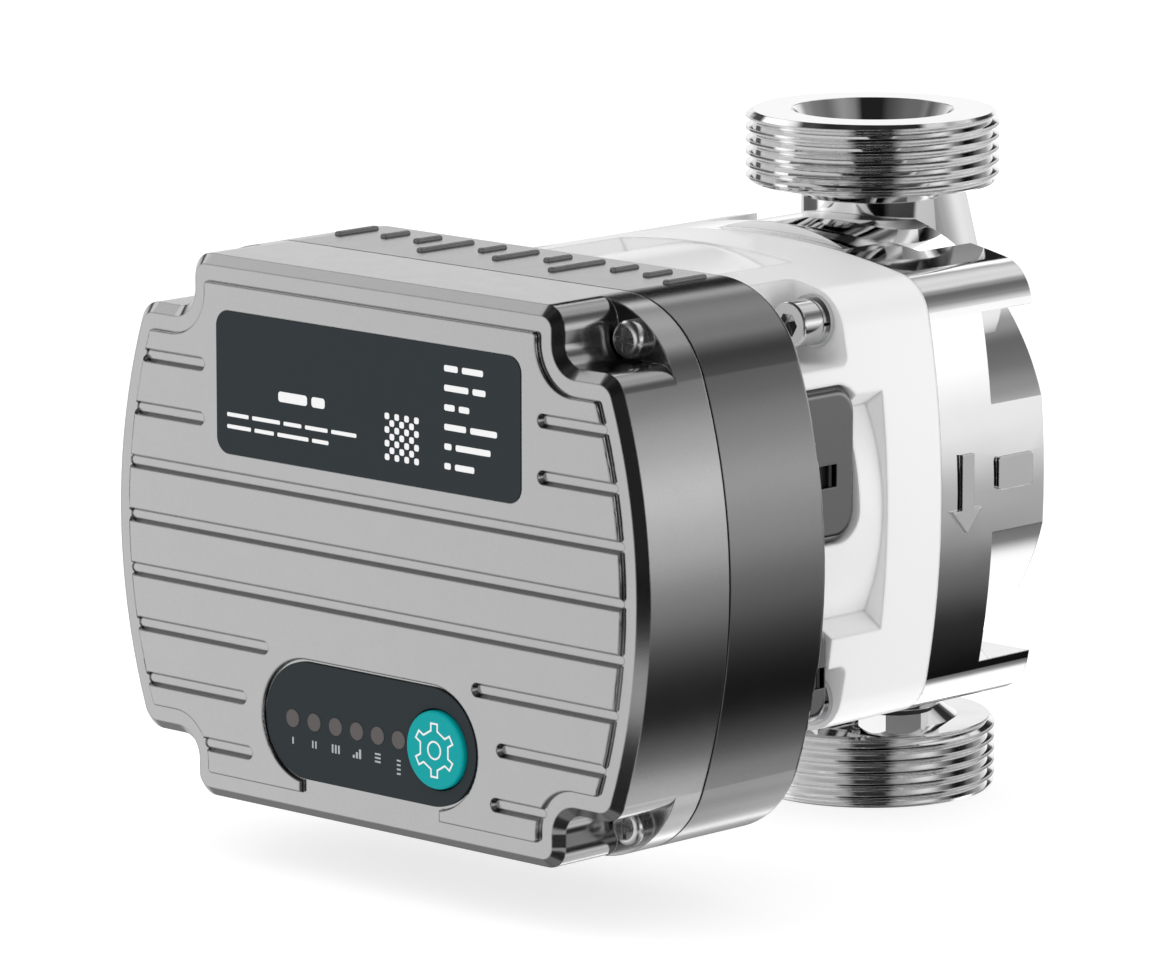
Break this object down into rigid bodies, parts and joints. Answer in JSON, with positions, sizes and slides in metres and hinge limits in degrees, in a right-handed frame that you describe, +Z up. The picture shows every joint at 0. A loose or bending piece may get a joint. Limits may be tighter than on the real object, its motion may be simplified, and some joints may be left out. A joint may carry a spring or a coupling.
{
  "type": "circulator pump",
  "caption": "Wet-rotor circulator pump: stainless volute with in-line threaded ports, white motor housing and a flat grey electronic control box with a push button and indicator lights.",
  "frame": {"origin": "centre of the lower port's end face, on the port axis", "axes": "+Z up along the port axis to the upper port, +Y back along the rotor axis from the control box to the impeller eye, +X to the side with the flow arrow"},
  "size_m": [0.1543, 0.1631, 0.13],
  "materials": {
    "stainless_cast": "polished cast stainless steel",
    "stainless": "turned stainless steel",
    "rubber_black": "matt rubber",
    "housing_white": "white satin paint on die-cast aluminium",
    "bolt_steel": "zinc-plated, satin",
    "washer_steel": "zinc-plated, satin",
    "ceramic": "ground ceramic",
    "core_steel": "laminated electrical steel",
    "insulator_white": "moulded nylon",
    "copper": "enamelled copper wire",
    "black_plastic": "moulded black plastic",
    "shaft_steel": "ground steel",
    "magnet": "sintered magnet",
    "impeller_plastic": "glass-filled moulded plastic",
    "box_metal": "grey satin metallic coat on die-cast aluminium",
    "screw_steel": "bright nickel-plated steel",
    "label_slate": "dark blank label film",
    "display_slate": "dark display film",
    "led_window": "smoked light window",
    "button_teal": "teal moulded plastic",
    "gland_plastic": "black nylon",
    "board_green": "solder resist",
    "capacitor_sleeve": "shrink sleeve",
    "choke_green": "coated toroid",
    "film_blue": "moulded case",
    "pad_grey": "silicone pad",
    "terminal_green": "moulded terminal block",
    "socket_white": "moulded socket",
    "led_white": "LED package",
    "earth_brass": "plain brass"
  },
  "bodies": {
    "pump": {"volute_housing": "stainless_cast", "neck_ring": "stainless", "housing_gasket": "rubber_black", "drain_plug": "stainless", "drain_washer": "rubber_black", "motor_housing": "housing_white", "housing_bolts": "bolt_steel", "bolt_washers": "washer_steel", "spring_washers": "washer_steel", "bearing_plate": "stainless", "front_bearing": "ceramic", "rear_bearing": "ceramic", "bearing_carrier": "stainless", "rotor_can": "stainless", "stator_core": "core_steel", "stator_insulators": "insulator_white", "stator_coils": "copper", "stator_connector": "black_plastic", "control_box_rear": "box_metal", "control_box_front": "box_metal", "cover_gasket": "rubber_black", "cover_screws": "screw_steel", "latch_hooks": "black_plastic", "box_gasket": "rubber_black", "box_screws": "screw_steel", "label_plate": "label_slate", "display_panel": "display_slate", "led_windows": "led_window", "button_seal": "rubber_black", "cable_gland_body": "gland_plastic", "gland_washer": "rubber_black", "gland_nut": "gland_plastic", "gland_seal": "rubber_black", "gland_locknut": "gland_plastic", "controller_board": "board_green", "board_screws": "screw_steel", "capacitors": "capacitor_sleeve", "line_choke": "choke_green", "film_capacitor": "film_blue", "power_module": "black_plastic", "thermal_pad": "pad_grey", "terminal_block": "terminal_green", "phase_socket": "socket_white", "tactile_switch": "black_plastic", "leds": "led_white", "earth_screw": "earth_brass"},
    "rotor": {"shaft": "shaft_steel", "rotor_core": "core_steel", "rotor_magnets": "magnet", "rotor_sleeve": "stainless", "rotor_end_caps": "stainless", "thrust_collar": "ceramic", "impeller_hub": "impeller_plastic", "impeller_vanes": "impeller_plastic", "impeller_shroud": "impeller_plastic", "impeller_nut": "stainless"},
    "button": {"mode_button": "button_teal"}
  },
  "joints": [
    {"name": "rotor_spin", "type": "hinge", "parent": "pump", "child": "rotor", "pos_m": [0, 0, 0.065], "axis": [0, 1, 0], "continuous": true},
    {"name": "button_press", "type": "slide", "parent": "pump", "child": "button", "axis": [0, 1, 0], "range_m": [0, 0.0006], "stiffness_N_per_m": 2500, "springref_m": -0.0004}
  ]
}
